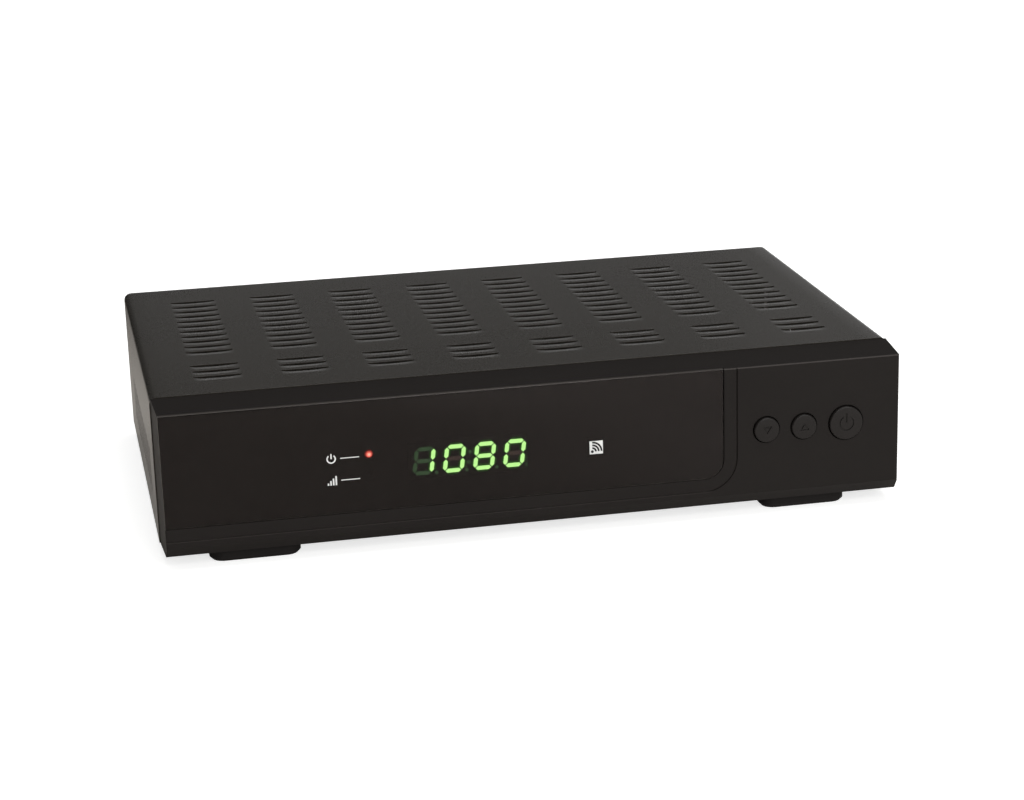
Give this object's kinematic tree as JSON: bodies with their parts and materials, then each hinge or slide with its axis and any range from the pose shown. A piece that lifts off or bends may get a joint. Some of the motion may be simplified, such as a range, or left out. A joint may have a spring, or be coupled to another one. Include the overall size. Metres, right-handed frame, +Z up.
{
  "type": "satellite television receiver",
  "caption": "Flat set-top receiver with a smoked front window, lit four-digit display, round push buttons, louvred cover and rear sockets.",
  "frame": {"origin": "centre of the bounding box in plan, at the level of the foot soles", "axes": "+X to the receiver's right seen from the front, +Y from the front face to the rear sockets, +Z up"},
  "size_m": [0.2594, 0.1742, 0.0564],
  "materials": {
    "tray_paint": "satin black paint",
    "cover_paint": "satin black powder coat",
    "black_screw": "black zinc",
    "moulding": "fine satin moulded plastic",
    "zinc_screw": "zinc-plated",
    "smoked_window": "polished smoked acrylic",
    "laminate": "green solder resist",
    "digit_face": "black display face",
    "red_lamp": "tinted clear epoxy",
    "green_lamp": "tinted clear epoxy",
    "eye_case": "dark infrared-clear epoxy",
    "button_plastic": "satin moulded plastic",
    "white_plastic": "white moulded plastic",
    "black_case": "black moulded plastic",
    "phenolic": "tan laminate",
    "tinned_can": "tinned steel",
    "nickel": "nickel-plated brass",
    "red_plastic": "red moulded plastic",
    "yellow_plastic": "yellow moulded plastic",
    "alloy": "extruded, natural",
    "can_sleeve": "dark plastic sleeve",
    "ferrite": "sintered ferrite",
    "winding_tape": "yellow polyester tape",
    "fuse_glass": "clear glass",
    "lead_insulation": "grey flexible insulation",
    "foot_plastic": "matt black"
  },
  "bodies": {
    "receiver": {"base_chassis": "tray_paint", "rear_panel": "tray_paint", "top_cover": "cover_paint", "cover_screws": "black_screw", "front_fascia": "moulding", "fascia_screws": "zinc_screw", "display_window": "smoked_window", "front_circuit_board": "laminate", "front_board_screws": "zinc_screw", "led_display": "digit_face", "power_lamp": "red_lamp", "signal_lamp": "green_lamp", "ir_receiver": "eye_case", "button_switches": "black_case", "power_supply_board": "phenolic", "main_circuit_board": "laminate", "power_board_screws": "zinc_screw", "main_board_screws": "zinc_screw", "tuner_can": "tinned_can", "lnb_input_connector": "nickel", "lnb_loop_connector": "nickel", "lnb_insulators": "white_plastic", "lnb_nuts": "nickel", "scart_socket": "black_case", "hdmi_socket": "nickel", "usb_socket": "nickel", "ethernet_socket": "tinned_can", "av_jack_tower": "black_case", "jack_sleeves": "nickel", "right_audio_insulator": "red_plastic", "left_audio_insulator": "white_plastic", "video_insulator": "yellow_plastic", "decoder_chip": "black_case", "decoder_heat_sink": "alloy", "memory_chips": "black_case", "main_board_capacitors": "can_sleeve", "transformer_core": "ferrite", "transformer_winding": "winding_tape", "mains_choke": "winding_tape", "mains_fuse": "fuse_glass", "power_heat_sink": "alloy", "mains_capacitor": "can_sleeve", "output_capacitors": "can_sleeve", "mains_inlet": "black_case", "mains_inlet_pins": "nickel", "mains_switch_case": "black_case", "front_ribbon_cable": "lead_insulation", "power_harness": "lead_insulation", "foot_front_left": "foot_plastic", "foot_front_right": "foot_plastic", "foot_rear_left": "foot_plastic", "foot_rear_right": "foot_plastic", "foot_screws": "zinc_screw"},
    "channel_down": {"channel_down_button": "button_plastic", "channel_down_plunger": "white_plastic"},
    "channel_up": {"channel_up_button": "button_plastic", "channel_up_plunger": "white_plastic"},
    "power": {"power_button": "button_plastic", "power_plunger": "white_plastic"},
    "rocker": {"mains_rocker": "black_case"}
  },
  "joints": [
    {"name": "channel_down_press", "type": "slide", "parent": "receiver", "child": "channel_down", "axis": [0, 1, 0], "range_m": [0, 0.0003], "stiffness_N_per_m": 4000},
    {"name": "channel_up_press", "type": "slide", "parent": "receiver", "child": "channel_up", "axis": [0, 1, 0], "range_m": [0, 0.0003], "stiffness_N_per_m": 4000},
    {"name": "power_press", "type": "slide", "parent": "receiver", "child": "power", "axis": [0, 1, 0], "range_m": [0, 0.0003], "stiffness_N_per_m": 4000},
    {"name": "rocker_throw", "type": "hinge", "parent": "receiver", "child": "rocker", "pos_m": [-0.0888, 0.0749, 0.0226], "axis": [1, 0, 0], "range_deg": [0, 24]}
  ]
}
